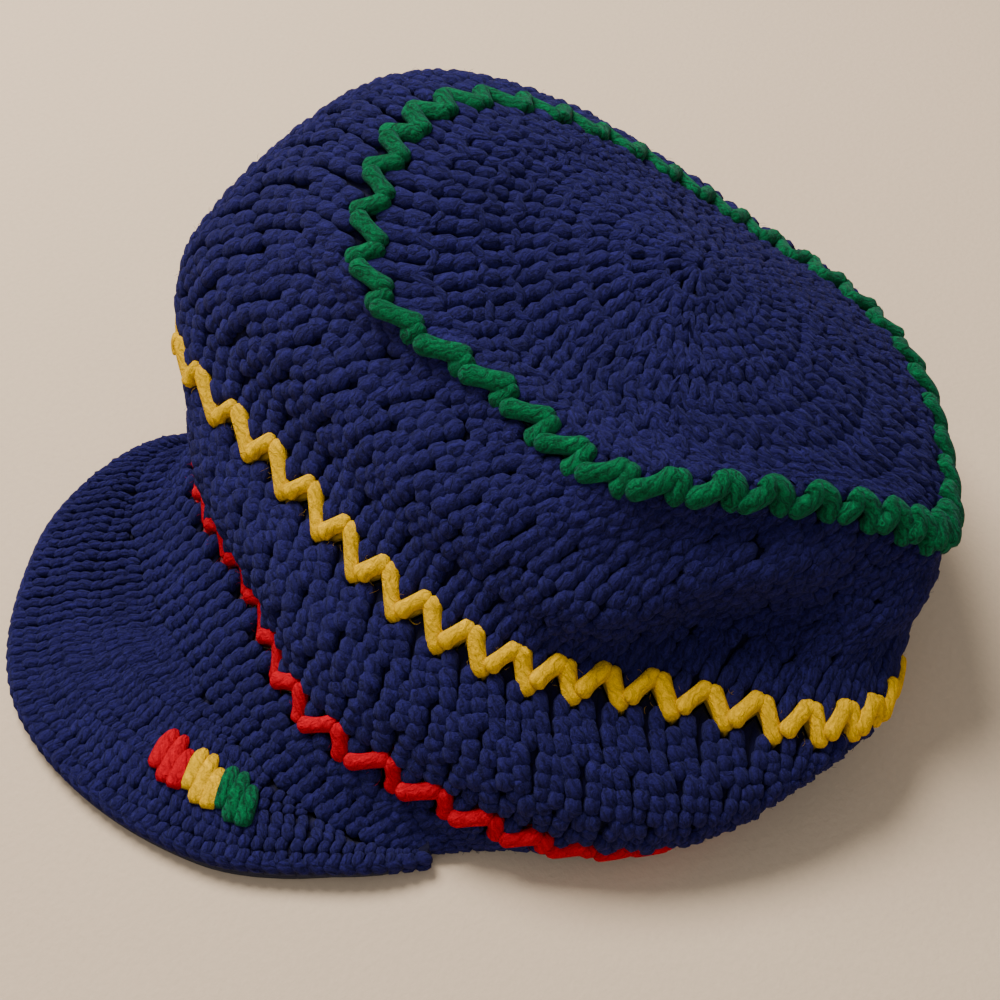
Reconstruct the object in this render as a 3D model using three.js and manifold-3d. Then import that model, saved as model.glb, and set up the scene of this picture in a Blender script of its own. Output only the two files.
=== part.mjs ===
// Rasta tam: a crocheted cap as it lies on a table. It has a deep slouched crown, three coloured
// zigzag rounds, a headband turned under at the sides and the back, and a soft peak.
// Millimetres, +Z up, the peak towards -Y and the wearer's left towards +X.

import * as THREE from "three";
import { mergeVertices } from "three/addons/utils/BufferGeometryUtils.js";
import Module from "manifold-3d";

// Driving sizes of the cap as it lies
const CAP_WIDTH = 264;
const CAP_LENGTH = 192;
const CAP_HEIGHT = 128;

// Crocheted walls
const CROWN_WALL = 4.5;
const SIDE_WALL = 4.5;
const BAND_WALL = 5;

// Coloured rounds: the cord's width, how far it stands proud, the height of a tooth, the number of
// teeth and how far the facets beside them stay away
const CORD_WIDTH = 5.5;
const CORD_PROUD = 0.8;
const TOOTH_HEIGHT = 10;
const TEETH = 40;
const TEETH_MARGIN = 1.5;

// Peak: its reach from the rim at the middle, its thickness and the swell of its top
const PEAK_REACH = 60;
const PEAK_THICKNESS = 6.5;
const PEAK_SWELL = 3;
const EDGING_WIDTH = 4;
const EDGING_ROUNDING = 0.5;

// Colour blocks worked into the peak's top
const BLOCK_WIDTH = 11.5;
const BLOCK_LENGTH = 12.5;
const BLOCK_DEPTH = 2.5;
const BLOCK_PROUD = 0.6;
const BLOCK_ROUNDING = 3;

// Clearance between neighbouring pieces, and across the stretchy seams beside the coloured rounds
const GAP = 0.3;
const SEAM_GAP = 0.7;
// How far the walls beside a coloured round are cut clear through their thickness
const CLEARING = 1;

const NAVY = 0x2b2b5c;
const GREEN = 0x00704a;
const YELLOW = 0xf0bd1c;
const RED = 0xe01c20;

// Rings of the cap, from the crown's centre to the rim. "at" is a ring's place along the cap.
// Its middle lies "left" (share of CAP_WIDTH) and "back" (share of CAP_LENGTH) of the head's middle.
// "wide" and "long" are its size in plan, as shares of the same two. "square" fills out its corners,
// "turn" swings it in degrees and "skew" (share of CAP_WIDTH) slants it back on the left side.
const RING_PLANS = [
  { name: "centre", at: 0, left: -0.025, back: 0.425, wide: 0, long: 0, square: 0, turn: 15, skew: 0 },
  { name: "half", at: 4, left: -0.03, back: 0.4, wide: 0.395, long: 0.44, square: 0, turn: 15, skew: 0 },
  { name: "green", at: 8, left: -0.015, back: 0.39, wide: 0.78, long: 0.83, square: 0.02, turn: 15, skew: 0.015 },
  { name: "shoulder", at: 9.2, left: -0.05, back: 0.38, wide: 0.88, long: 0.92, square: 0.02, turn: 11, skew: 0.025 },
  { name: "bulge", at: 11.2, left: -0.07, back: 0.325, wide: 1, long: 1, square: 0.02, turn: 4, skew: 0.055 },
  { name: "tuck", at: 12.9, left: -0.045, back: 0.21, wide: 0.985, long: 0.855, square: 0.02, turn: -3, skew: 0.085 },
  { name: "yellow", at: 14, left: 0, back: 0.115, wide: 0.985, long: 0.78, square: 0.02, turn: -7, skew: 0.1 },
  { name: "lower", at: 16, left: -0.01, back: 0.01, wide: 0.96, long: 0.81, square: 0.02, turn: 2, skew: 0.07 },
  { name: "red", at: 17.7, left: -0.035, back: -0.0625, wide: 0.925, long: 0.76, square: 0.02, turn: 7, skew: 0.04 },
  { name: "hem", at: 19, left: -0.075, back: -0.13, wide: 0.85, long: 0.76, square: 0.05, turn: 10, skew: 0.02 },
  { name: "rim", at: 20.4, left: -0.11, back: -0.195, wide: 0.82, long: 0.74, square: 0.1, turn: 13, skew: 0 },
];

// Height of each ring at the wearer's front, left, back and right, as shares of CAP_HEIGHT
const RING_HEIGHTS = {
  centre: { front: 0.89, left: 0.89, back: 0.89, right: 0.89 },
  half: { front: 0.8, left: 0.765, back: 0.7, right: 0.915 },
  green: { front: 0.765, left: 0.53, back: 0.5, right: 0.97 },
  shoulder: { front: 0.725, left: 0.485, back: 0.46, right: 0.93 },
  bulge: { front: 0.625, left: 0.42, back: 0.235, right: 0.75 },
  tuck: { front: 0.515, left: 0.35, back: 0.11, right: 0.5625 },
  yellow: { front: 0.43, left: 0.295, back: 0.055, right: 0.455 },
  lower: { front: 0.3125, left: 0.1875, back: 0.025, right: 0.265 },
  red: { front: 0.17, left: 0.055, back: 0.01, right: 0.11 },
  hem: { front: 0.11, left: 0, back: 0, right: 0.01 },
  rim: { front: 0.065, left: 0, back: 0, right: 0 },
};

// Folds and dents. Each is a soft push centred "around" the cap (degrees from the front towards the
// wearer's left) and "at" a ring's place, fading over "spread" degrees and "reach" places.
// left is a share of CAP_WIDTH, back of CAP_LENGTH and up of CAP_HEIGHT.
const FOLDS = [
  { name: "front of crown in", around: 5, spread: 34, at: 8, reach: 2.4, left: -0.027, back: 0.09, up: 0 },
  { name: "left of crown in", around: 55, spread: 32, at: 8, reach: 2.2, left: -0.053, back: 0.135, up: 0.023 },
  { name: "left crown corner", around: 80, spread: 24, at: 8.6, reach: 2.2, left: 0.02, back: 0.015, up: 0 },
  { name: "right crown corner", around: -75, spread: 34, at: 9, reach: 2.6, left: -0.042, back: -0.03, up: 0.023 },
  { name: "far side of crown in", around: -130, spread: 34, at: 8, reach: 2.4, left: 0.045, back: 0, up: 0 },
  { name: "crown dimple", around: -20, spread: 45, at: 5.2, reach: 1.8, left: 0, back: 0, up: -0.07 },
  { name: "left wall in", around: 55, spread: 30, at: 10.9, reach: 1.8, left: -0.09, back: 0.01, up: 0 },
  { name: "ridge foot", around: 42, spread: 13, at: 12, reach: 1.1, left: 0.02, back: -0.03, up: 0.023 },
  { name: "ridge head", around: 56, spread: 12, at: 10.1, reach: 1.2, left: 0.027, back: -0.036, up: 0.023 },
  { name: "recess", around: 68, spread: 15, at: 12.2, reach: 1.3, left: -0.034, back: 0.026, up: -0.008 },
  { name: "yellow pressed in", around: 65, spread: 33, at: 14, reach: 1.7, left: -0.11, back: 0, up: 0 },
  { name: "right front out", around: -48, spread: 26, at: 12.6, reach: 2.4, left: -0.083, back: -0.104, up: 0 },
  { name: "back left in", around: 122, spread: 30, at: 11, reach: 2.4, left: -0.027, back: -0.068, up: 0 },
  { name: "left side tuck", around: 108, spread: 22, at: 12.9, reach: 1.4, left: -0.019, back: -0.005, up: 0 },
  { name: "lower left out", around: 92, spread: 26, at: 15.9, reach: 1.3, left: 0.015, back: -0.016, up: 0 },
  { name: "red front out", around: 7, spread: 16, at: 17.7, reach: 1.5, left: 0, back: -0.03, up: 0 },
  { name: "rim right in", around: -100, spread: 35, at: 20.4, reach: 1.6, left: 0.06, back: 0, up: 0 },
  { name: "rim right back in", around: -140, spread: 40, at: 20.4, reach: 1.9, left: 0.13, back: -0.02, up: 0 },
  { name: "rim right up", around: -72, spread: 24, at: 20.4, reach: 1.8, left: 0, back: 0, up: 0.055 },
  { name: "right crown corner out", around: -43, spread: 18, at: 8, reach: 1.8, left: -0.012, back: -0.06, up: -0.02 },
  { name: "front of crown droops", around: 7, spread: 17, at: 8.2, reach: 1.9, left: 0.014, back: -0.042, up: -0.042 },
  { name: "left crown corner in", around: 116, spread: 24, at: 9.2, reach: 1.8, left: -0.011, back: -0.022, up: 0 },
  { name: "lower bulge out", around: 122, spread: 22, at: 12.3, reach: 1.2, left: 0.022, back: 0.024, up: -0.014 },
  { name: "yellow front back", around: -12, spread: 20, at: 14, reach: 1.5, left: 0, back: 0.022, up: 0.013 },
  { name: "yellow left down", around: 102, spread: 20, at: 14, reach: 1.7, left: 0.004, back: -0.004, up: -0.01 },
  { name: "red front in", around: -22, spread: 18, at: 17.7, reach: 1.2, left: 0.005, back: 0.031, up: 0.013 },
];

// The sheets of the cap. "above" and "below" name the coloured rounds that they meet, and "rows"
// are the rows of facets between the teeth of the two, as shares of the way.
const SHEETS = [
  { name: "crown_top", above: null, below: "green", wall: CROWN_WALL, rows: [0.2, 0.42, 0.62, 0.82, 1] },
  { name: "side_upper", above: "green", below: "yellow", wall: SIDE_WALL, rows: [0, 0.25, 0.5, 0.75, 1] },
  { name: "side_lower", above: "yellow", below: "red", wall: SIDE_WALL, rows: [0, 0.5, 1] },
  { name: "headband", above: "red", below: null, wall: BAND_WALL, rows: [0, 0.35, 0.7] },
];
const ROUNDS = [
  { name: "green_round", ring: "green", colour: GREEN },
  { name: "yellow_round", ring: "yellow", colour: YELLOW },
  { name: "red_round", ring: "red", colour: RED },
];

// Peak sections, from the wearer's right to the left. "around" is where a section meets the rim,
// "reach" its length as a share of PEAK_REACH and "turn" its direction in degrees from the front.
const PEAK_SECTIONS = [
  { name: "right end", around: -85.5, reach: 0.2, turn: -50 },
  { name: "right corner", around: -69, reach: 0.42, turn: -18 },
  { name: "right front", around: -52, reach: 0.66, turn: -6 },
  { name: "front", around: -19, reach: 1, turn: 0 },
  { name: "left front", around: 14, reach: 0.63, turn: 24 },
  { name: "left corner", around: 31, reach: 0.32, turn: 33 },
  { name: "left end", around: 49.5, reach: 0.12, turn: 56 },
];
// How far from the rim the peak settles flat, as a share of PEAK_REACH
const SETTLE_SHARE = 0.36;
// Rows of the peak, as shares of its reach inside the edging
const PEAK_ROWS = [0, 0.14, 0.36, 0.6, 0.82, 1];

// Colour blocks: where each lies round the rim and how far out along the peak, as a share
const BLOCKS = [
  { name: "peak_block_red", around: -1.5, out: 0.46, colour: RED },
  { name: "peak_block_yellow", around: 4.5, out: 0.42, colour: YELLOW },
  { name: "peak_block_green", around: 10.5, out: 0.38, colour: GREEN },
];

// Two columns of facets to a tooth, the first on its tip
const COLUMNS = 2 * TEETH;
const COLUMN_STEP = 360 / COLUMNS;
const FIRST_TIP = -43;
// The step in which a distance is walked along the cap, in places, and the stance in millimetres over
// which its slope is taken, which keeps the inner face smooth in the tight folds
const PLACE_STEP = 0.02;
const STANCE = 6;

const toRadians = THREE.MathUtils.degToRad;
const columnAngle = (column) => FIRST_TIP + column * COLUMN_STEP;

// A smooth curve through the rows of a table, each { at, values: [...] }
function smoothTable(rows) {
  const slopes = rows.map((row, i) => row.values.map((value, k) => {
    const before = rows[Math.max(i - 1, 0)];
    const after = rows[Math.min(i + 1, rows.length - 1)];
    if (i === 0 || i === rows.length - 1) return (after.values[k] - before.values[k]) / (after.at - before.at);
    const rise = (value - before.values[k]) / (row.at - before.at);
    const next = (after.values[k] - value) / (after.at - row.at);
    return ((after.at - row.at) * rise + (row.at - before.at) * next) / (after.at - before.at);
  }));
  return (at) => {
    let i = 0;
    while (i < rows.length - 2 && at >= rows[i + 1].at) i += 1;
    const span = rows[i + 1].at - rows[i].at;
    const t = (at - rows[i].at) / span;
    const start = (1 + 2 * t) * (1 - t) ** 2;
    const lift = t * (1 - t) ** 2 * span;
    const end = t * t * (3 - 2 * t);
    const fall = t * t * (t - 1) * span;
    return rows[i].values.map((value, k) =>
      start * value + lift * slopes[i][k] + end * rows[i + 1].values[k] + fall * slopes[i + 1][k]);
  };
}

const ringAt = smoothTable(RING_PLANS.map((plan) => {
  const height = RING_HEIGHTS[plan.name];
  return {
    at: plan.at,
    values: [
      plan.left * CAP_WIDTH,
      plan.back * CAP_LENGTH,
      plan.wide * CAP_WIDTH / 2,
      plan.long * CAP_LENGTH / 2,
      plan.square,
      plan.turn,
      plan.skew * CAP_WIDTH,
      height.front * CAP_HEIGHT,
      height.left * CAP_HEIGHT,
      height.back * CAP_HEIGHT,
      height.right * CAP_HEIGHT,
    ],
  };
}));
const placeOf = (ring) => RING_PLANS.find((plan) => plan.name === ring).at;
const RIM = placeOf("rim");

// A point on the cap's outer face. Nothing lies below the table at z = 0.
function capPoint(at, around) {
  const [left, back, halfWidth, halfLength, square, turn, skew, front, leftUp, backUp, rightUp] = ringAt(at);
  const across = Math.sin(toRadians(around + turn));
  const along = Math.cos(toRadians(around + turn));
  const corner = 1 + square * (2 * across * along) ** 2;
  const side = Math.sin(toRadians(around));
  const ahead = Math.cos(toRadians(around));
  const height = (ahead > 0 ? front : backUp) * ahead ** 2 + (side > 0 ? leftUp : rightUp) * side ** 2;
  const point = new THREE.Vector3(
    left + halfWidth * across * corner,
    back - halfLength * along * corner + skew * across,
    height,
  );
  for (const fold of FOLDS) {
    const turned = THREE.MathUtils.euclideanModulo(around - fold.around + 180, 360) - 180;
    const share = Math.exp(-((turned / fold.spread) ** 2) - ((at - fold.at) / fold.reach) ** 2);
    point.x += fold.left * CAP_WIDTH * share;
    point.y += fold.back * CAP_LENGTH * share;
    point.z += fold.up * CAP_HEIGHT * share;
  }
  point.z = Math.max(point.z, 0);
  return point;
}

// The place reached by going a distance in millimetres along the face, down to the rim or back up
function placeAlong(at, around, distance) {
  const step = Math.sign(distance) * PLACE_STEP;
  let place = at;
  let left = Math.abs(distance);
  let here = capPoint(place, around);
  while (left > 0 && place + step > 0 && place + step < RIM) {
    const next = capPoint(place + step, around);
    const length = next.distanceTo(here);
    place += step * Math.min(1, left / length);
    left -= length;
    here = next;
  }
  return place;
}

// The direction in which the outer face runs on towards the rim, taken over one stance each way
function capRun(at, around) {
  const low = capPoint(placeAlong(at, around, -STANCE), around);
  const high = capPoint(placeAlong(at, around, STANCE), around);
  return high.sub(low).normalize();
}

// The outward direction of the cap's face
function capNormal(at, around) {
  const round = capPoint(at, around + COLUMN_STEP / 2).sub(capPoint(at, around - COLUMN_STEP / 2));
  return capRun(at, around).cross(round).normalize();
}

// A closed solid between an outer and an inner grid of points. A closed ring of columns joins its
// last column to its first, and a pole is a first row that is one point. The first and the last row
// are split along the same diagonal, so that two sheets fit face to face.
function sheetGeometry(outer, inner, { ring, pole }) {
  const rows = outer.length;
  const columns = outer[1].length;
  const positions = [];
  const number = (points) => points.map((row) => row.map((point) => {
    positions.push(point.x, point.y, point.z);
    return positions.length / 3 - 1;
  }));
  const out = number(outer);
  const into = number(inner);
  const triangles = [];
  const quad = (a, b, c, d) => triangles.push(a, b, c, a, c, d);
  const steps = ring ? columns : columns - 1;
  for (let j = 0; j < steps; j += 1) {
    const k = (j + 1) % columns;
    for (let i = pole ? 1 : 0; i < rows - 1; i += 1) {
      quad(out[i][j], out[i + 1][j], out[i + 1][k], out[i][k]);
      quad(into[i][k], into[i + 1][k], into[i + 1][j], into[i][j]);
    }
    if (pole) {
      triangles.push(out[0][0], out[1][j], out[1][k]);
      triangles.push(into[0][0], into[1][k], into[1][j]);
    } else {
      quad(out[0][j], out[0][k], into[0][k], into[0][j]);
    }
    quad(out[rows - 1][j], into[rows - 1][j], into[rows - 1][k], out[rows - 1][k]);
  }
  if (!ring) {
    const last = columns - 1;
    for (let i = 0; i < rows - 1; i += 1) {
      quad(out[i + 1][0], out[i][0], into[i][0], into[i + 1][0]);
      quad(out[i][last], out[i + 1][last], into[i + 1][last], into[i][last]);
    }
  }
  const geometry = new THREE.BufferGeometry();
  geometry.setAttribute("position", new THREE.Float32BufferAttribute(positions, 3));
  geometry.setIndex(triangles);
  return geometry;
}

// A row of points across the wall at each column: "outer" stands proud of the face, "inner" lies one
// wall inside it, and both are moved along the face by a shift
function wallRow(placeAt, wall, proud = 0, shift = 0) {
  const outer = [];
  const inner = [];
  for (let column = 0; column < COLUMNS; column += 1) {
    const around = columnAngle(column);
    const at = placeAt(column);
    const normal = capNormal(at, around);
    const point = capPoint(at, around).addScaledVector(capRun(at, around), shift);
    const face = point.clone().addScaledVector(normal, proud);
    face.z = Math.max(face.z, 0);
    outer.push(face);
    inner.push(point.addScaledVector(normal, -wall));
  }
  return { outer, inner };
}

// The zigzag edge of a coloured round on the side of the crown (-1) or of the rim (1)
const halfPitch = Math.PI * (CAP_WIDTH + CAP_LENGTH) / 2 / COLUMNS;
const slant = Math.hypot(1, TOOTH_HEIGHT / halfPitch);
const edgeGap = SEAM_GAP / 2 * slant;
function roundEdge(ring, side) {
  return (column) => {
    const tooth = (column % 2 === 0 ? -1 : 1) * TOOTH_HEIGHT / 2;
    return placeAlong(placeOf(ring), columnAngle(column), tooth + side * CORD_WIDTH / 2 * slant);
  };
}

// The place clear of a round's teeth on the same sides
const teethReach = TOOTH_HEIGHT / 2 + CORD_WIDTH / 2 * slant + TEETH_MARGIN;
const clearPlace = (ring, column, side) => placeAlong(placeOf(ring), columnAngle(column), side * teethReach);

const wasm = await Module();
wasm.setup();

function toSolid(geometry) {
  const bare = geometry.clone();
  bare.deleteAttribute("normal");
  bare.deleteAttribute("uv");
  const merged = mergeVertices(bare, 1e-4);
  return new wasm.Manifold(new wasm.Mesh({
    numProp: 3,
    vertProperties: Float32Array.from(merged.attributes.position.array),
    triVerts: Uint32Array.from(merged.index.array),
  }));
}

// The solid without the slivers that a cut leaves
function largestPart(solid) {
  return solid.decompose().reduce((best, part) => (part.volume() > best.volume() ? part : best));
}

function fromSolid(solid) {
  const { vertProperties, triVerts } = solid.getMesh();
  const geometry = new THREE.BufferGeometry();
  geometry.setAttribute("position", new THREE.BufferAttribute(vertProperties, 3));
  geometry.setIndex(new THREE.BufferAttribute(triVerts, 1));
  return geometry;
}

const cap = new THREE.Group();

function addPiece(name, geometry, colour) {
  geometry.computeVertexNormals();
  const yarn = new THREE.MeshStandardMaterial({ color: colour, roughness: 0.95, metalness: 0 });
  const piece = new THREE.Mesh(geometry, yarn);
  piece.name = name;
  cap.add(piece);
}

function addSheet({ name, above, below, wall, rows }) {
  const grids = rows.map((share) => wallRow((column) => {
    const start = above ? clearPlace(above, column, 1) : 0;
    const end = below ? clearPlace(below, column, -1) : RIM;
    return THREE.MathUtils.lerp(start, end, share);
  }, wall));
  if (above) grids.unshift(wallRow(roundEdge(above, 1), wall, 0, edgeGap));
  grids.push(below ? wallRow(roundEdge(below, -1), wall, 0, -edgeGap) : wallRow(() => RIM, wall));
  const outer = grids.map((grid) => grid.outer);
  const inner = grids.map((grid) => grid.inner);
  if (!above) {
    const top = capPoint(0, 0);
    outer.unshift([top]);
    inner.unshift([top.clone().setZ(top.z - wall)]);
  }
  let sheet = toSolid(sheetGeometry(outer, inner, { ring: true, pole: !above }));
  for (const ring of [above, below]) {
    if (ring) sheet = sheet.subtract(toSolid(roundGeometry(ring, CLEARING, edgeGap / 2)));
  }
  addPiece(name, fromSolid(largestPart(sheet)), NAVY);
}

// A coloured round, grown through the wall by a margin, its edges moved in from the seams by a shift
function roundGeometry(ring, margin, shift) {
  const top = wallRow(roundEdge(ring, -1), SIDE_WALL + margin, CORD_PROUD + margin, shift);
  const bottom = wallRow(roundEdge(ring, 1), SIDE_WALL + margin, CORD_PROUD + margin, -shift);
  return sheetGeometry([top.outer, bottom.outer], [top.inner, bottom.inner], { ring: true });
}

function addRound({ name, ring, colour }) {
  addPiece(name, roundGeometry(ring, 0, edgeGap), colour);
}

// The peak
const peakSection = smoothTable(PEAK_SECTIONS.map(({ around, reach, turn }) => (
  { at: around, values: [reach * PEAK_REACH, turn] })));

// A point on the peak's top and the one below it, "out" millimetres from the rim, of "reach" in all.
// The peak starts square to the headband's edge and lies flat on the table further out.
function peakPoint(around, out, reach) {
  const turn = toRadians(peakSection(around)[1]);
  const share = out / reach;
  const start = capPoint(RIM, around).addScaledVector(capRun(RIM, around), GAP);
  const settled = THREE.MathUtils.smoothstep(out, 0, SETTLE_SHARE * PEAK_REACH);
  const top = new THREE.Vector3(start.x + out * Math.sin(turn), start.y - out * Math.cos(turn), 0);
  top.z = THREE.MathUtils.lerp(start.z, PEAK_THICKNESS, settled) + PEAK_SWELL * Math.sin(Math.PI * share);
  const down = capNormal(RIM, around).negate().lerp(new THREE.Vector3(0, 0, -1), settled).normalize();
  const thickness = THREE.MathUtils.lerp(BAND_WALL, PEAK_THICKNESS, settled);
  const under = top.clone().addScaledVector(down, thickness);
  under.z = Math.max(under.z, 0);
  return { top, under };
}

const peakColumns = [];
for (let column = 0; column < COLUMNS; column += 1) {
  const around = THREE.MathUtils.euclideanModulo(columnAngle(column) + 180, 360) - 180;
  if (around >= PEAK_SECTIONS[0].around && around <= PEAK_SECTIONS.at(-1).around) peakColumns.push(around);
}
peakColumns.sort((a, b) => a - b);

// Rows of the peak between two distances from the rim
function peakGrid(rows) {
  const points = rows.map((distance) => peakColumns.map((around) => {
    const reach = peakSection(around)[0];
    return peakPoint(around, distance(reach), reach);
  }));
  return {
    outer: points.map((row) => row.map((point) => point.top)),
    inner: points.map((row) => row.map((point) => point.under)),
  };
}

const edgingShare = (reach) => Math.min(EDGING_WIDTH, reach / 2);
const peakBody = peakGrid(PEAK_ROWS.map((share) => (reach) => share * (reach - edgingShare(reach) - GAP)));
const edging = peakGrid([0, 0.5, 1].map((share) => (reach) => reach - (1 - share) * edgingShare(reach)));
// The edging's last row is rounded off
edging.outer.at(-1).forEach((top, i) => {
  const under = edging.inner.at(-1)[i];
  const middle = top.clone().lerp(under, 0.5);
  top.lerp(middle, EDGING_ROUNDING);
  under.lerp(middle, EDGING_ROUNDING);
});

// A block's outline with rounded corners, grown all round by a margin
function blockOutline(margin) {
  const halfWidth = BLOCK_WIDTH / 2 + margin;
  const halfLength = BLOCK_LENGTH / 2 + margin;
  const round = BLOCK_ROUNDING + margin;
  const outline = new THREE.Shape();
  outline.moveTo(-halfWidth + round, -halfLength);
  outline.lineTo(halfWidth - round, -halfLength);
  outline.quadraticCurveTo(halfWidth, -halfLength, halfWidth, -halfLength + round);
  outline.lineTo(halfWidth, halfLength - round);
  outline.quadraticCurveTo(halfWidth, halfLength, halfWidth - round, halfLength);
  outline.lineTo(-halfWidth + round, halfLength);
  outline.quadraticCurveTo(-halfWidth, halfLength, -halfWidth, halfLength - round);
  outline.lineTo(-halfWidth, -halfLength + round);
  outline.quadraticCurveTo(-halfWidth, -halfLength, -halfWidth + round, -halfLength);
  return outline;
}

// A block from "depth" below the peak's top to "proud" above it, in its place on the peak
function blockGeometry({ around, out }, margin, depth, proud) {
  const reach = peakSection(around)[0];
  const here = peakPoint(around, out * reach, reach).top;
  const outward = peakPoint(around, out * reach + 1, reach).top.sub(here).normalize();
  const aside = peakPoint(around + 1, out * reach, reach).top.sub(here);
  const up = aside.cross(outward).normalize();
  if (up.z < 0) up.negate();
  const geometry = new THREE.ExtrudeGeometry(blockOutline(margin), {
    depth: depth + proud,
    bevelEnabled: false,
    curveSegments: 3,
  });
  geometry.translate(0, 0, -depth);
  const across = outward.clone().cross(up);
  geometry.applyMatrix4(new THREE.Matrix4().makeBasis(across, outward, up).setPosition(here));
  return geometry;
}

SHEETS.forEach(addSheet);
ROUNDS.forEach(addRound);

// The peak, with a pocket for each colour block
let peak = toSolid(sheetGeometry(peakBody.outer, peakBody.inner, { ring: false }));
for (const block of BLOCKS) {
  peak = peak.subtract(toSolid(blockGeometry(block, GAP, BLOCK_DEPTH + GAP, PEAK_THICKNESS)));
  addPiece(block.name, blockGeometry(block, 0, BLOCK_DEPTH, BLOCK_PROUD), block.colour);
}
addPiece("peak", fromSolid(peak), NAVY);
addPiece("peak_edging", sheetGeometry(edging.outer, edging.inner, { ring: false }), NAVY);

// The origin is the middle of the cap's box, on the table
cap.updateMatrixWorld(true);
const box = new THREE.Box3().setFromObject(cap, true);
cap.position.set(-(box.min.x + box.max.x) / 2, -(box.min.y + box.max.y) / 2, -box.min.z);

export default cap;
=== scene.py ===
"""A crocheted rasta tam that lies on a table, stitch by stitch.

It has a slouched crown worked in rounds, walls of fanned stitches, three coloured zigzag rounds, a
headband turned under and a soft peak with three colour blocks. Metres, +Z up, the peak towards -Y.
"""

import math

import bmesh
import bpy
import numpy as np
from bpy.props import (
    FloatProperty,
    FloatVectorProperty,
    IntProperty,
    PointerProperty,
)
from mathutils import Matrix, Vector


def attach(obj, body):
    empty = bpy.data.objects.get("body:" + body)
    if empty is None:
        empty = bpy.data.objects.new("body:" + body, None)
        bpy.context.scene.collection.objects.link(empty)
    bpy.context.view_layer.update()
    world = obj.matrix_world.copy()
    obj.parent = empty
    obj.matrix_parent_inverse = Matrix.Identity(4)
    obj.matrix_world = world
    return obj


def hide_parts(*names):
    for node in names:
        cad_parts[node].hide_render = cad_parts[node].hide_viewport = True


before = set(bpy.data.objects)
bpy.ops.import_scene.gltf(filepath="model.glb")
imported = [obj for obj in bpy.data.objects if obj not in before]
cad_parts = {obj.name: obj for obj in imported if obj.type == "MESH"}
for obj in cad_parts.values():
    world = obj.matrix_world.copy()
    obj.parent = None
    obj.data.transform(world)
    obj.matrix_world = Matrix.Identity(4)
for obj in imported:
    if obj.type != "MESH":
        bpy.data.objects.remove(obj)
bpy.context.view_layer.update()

bl_info = {
    "name": "Crocheted rasta tam",
    "version": (1, 0, 0),
    "blender": (4, 5, 0),
    "location": "View3D > Sidebar > Tam",
    "description": "Works a slouched crochet cap with coloured rounds and a peak over its frame",
    "category": "Add Mesh",
}

MM = 0.001

# The cap as it lies, and the middle of the head in the frame
CAP_WIDTH = 264 * MM
CAP_LENGTH = 192 * MM
CAP_HEIGHT = 128 * MM
HEAD_MIDDLE = np.array([15.03, 2.8, 0.0]) * MM

# The fabric, the coloured cord, its teeth and the peak
WALL = 4.5 * MM
CORD_WIDTH = 5.5 * MM
TOOTH_HEIGHT = 10 * MM
TEETH = 40
PITCH = 360 / TEETH
FIRST_TIP = -43
SEAM_GAP = 0.7 * MM
PEAK_REACH = 60 * MM
PEAK_THICKNESS = 6.5 * MM
PEAK_SWELL = 3 * MM
SETTLE_SHARE = 0.36
TABLE = 0.2 * MM
GROUND_INSET = 2.4 * MM

# Rings from the crown's centre to the rim: place, middle to the left and to the back, width, length,
# squareness, turn in degrees and skew, as shares of the cap's width and length
RING_PLANS = {
    "centre": (0, -0.025, 0.425, 0, 0, 0, 15, 0),
    "half": (4, -0.03, 0.4, 0.395, 0.44, 0, 15, 0),
    "green": (8, -0.015, 0.39, 0.78, 0.83, 0.02, 15, 0.015),
    "shoulder": (9.2, -0.05, 0.38, 0.88, 0.92, 0.02, 11, 0.025),
    "bulge": (11.2, -0.07, 0.325, 1, 1, 0.02, 4, 0.055),
    "tuck": (12.9, -0.045, 0.21, 0.985, 0.855, 0.02, -3, 0.085),
    "yellow": (14, 0, 0.115, 0.985, 0.78, 0.02, -7, 0.1),
    "lower": (16, -0.01, 0.01, 0.96, 0.81, 0.02, 2, 0.07),
    "red": (17.7, -0.035, -0.0625, 0.925, 0.76, 0.02, 7, 0.04),
    "hem": (19, -0.075, -0.13, 0.85, 0.76, 0.05, 10, 0.02),
    "rim": (20.4, -0.11, -0.195, 0.82, 0.74, 0.1, 13, 0),
}

# Height of each ring at the wearer's front, left, back and right, as shares of the cap's height
RING_HEIGHTS = {
    "centre": (0.89, 0.89, 0.89, 0.89),
    "half": (0.8, 0.765, 0.7, 0.915),
    "green": (0.765, 0.53, 0.5, 0.97),
    "shoulder": (0.725, 0.485, 0.46, 0.93),
    "bulge": (0.625, 0.42, 0.235, 0.75),
    "tuck": (0.515, 0.35, 0.11, 0.5625),
    "yellow": (0.43, 0.295, 0.055, 0.455),
    "lower": (0.3125, 0.1875, 0.025, 0.265),
    "red": (0.17, 0.055, 0.01, 0.11),
    "hem": (0.11, 0, 0, 0.01),
    "rim": (0.065, 0, 0, 0),
}

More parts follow.
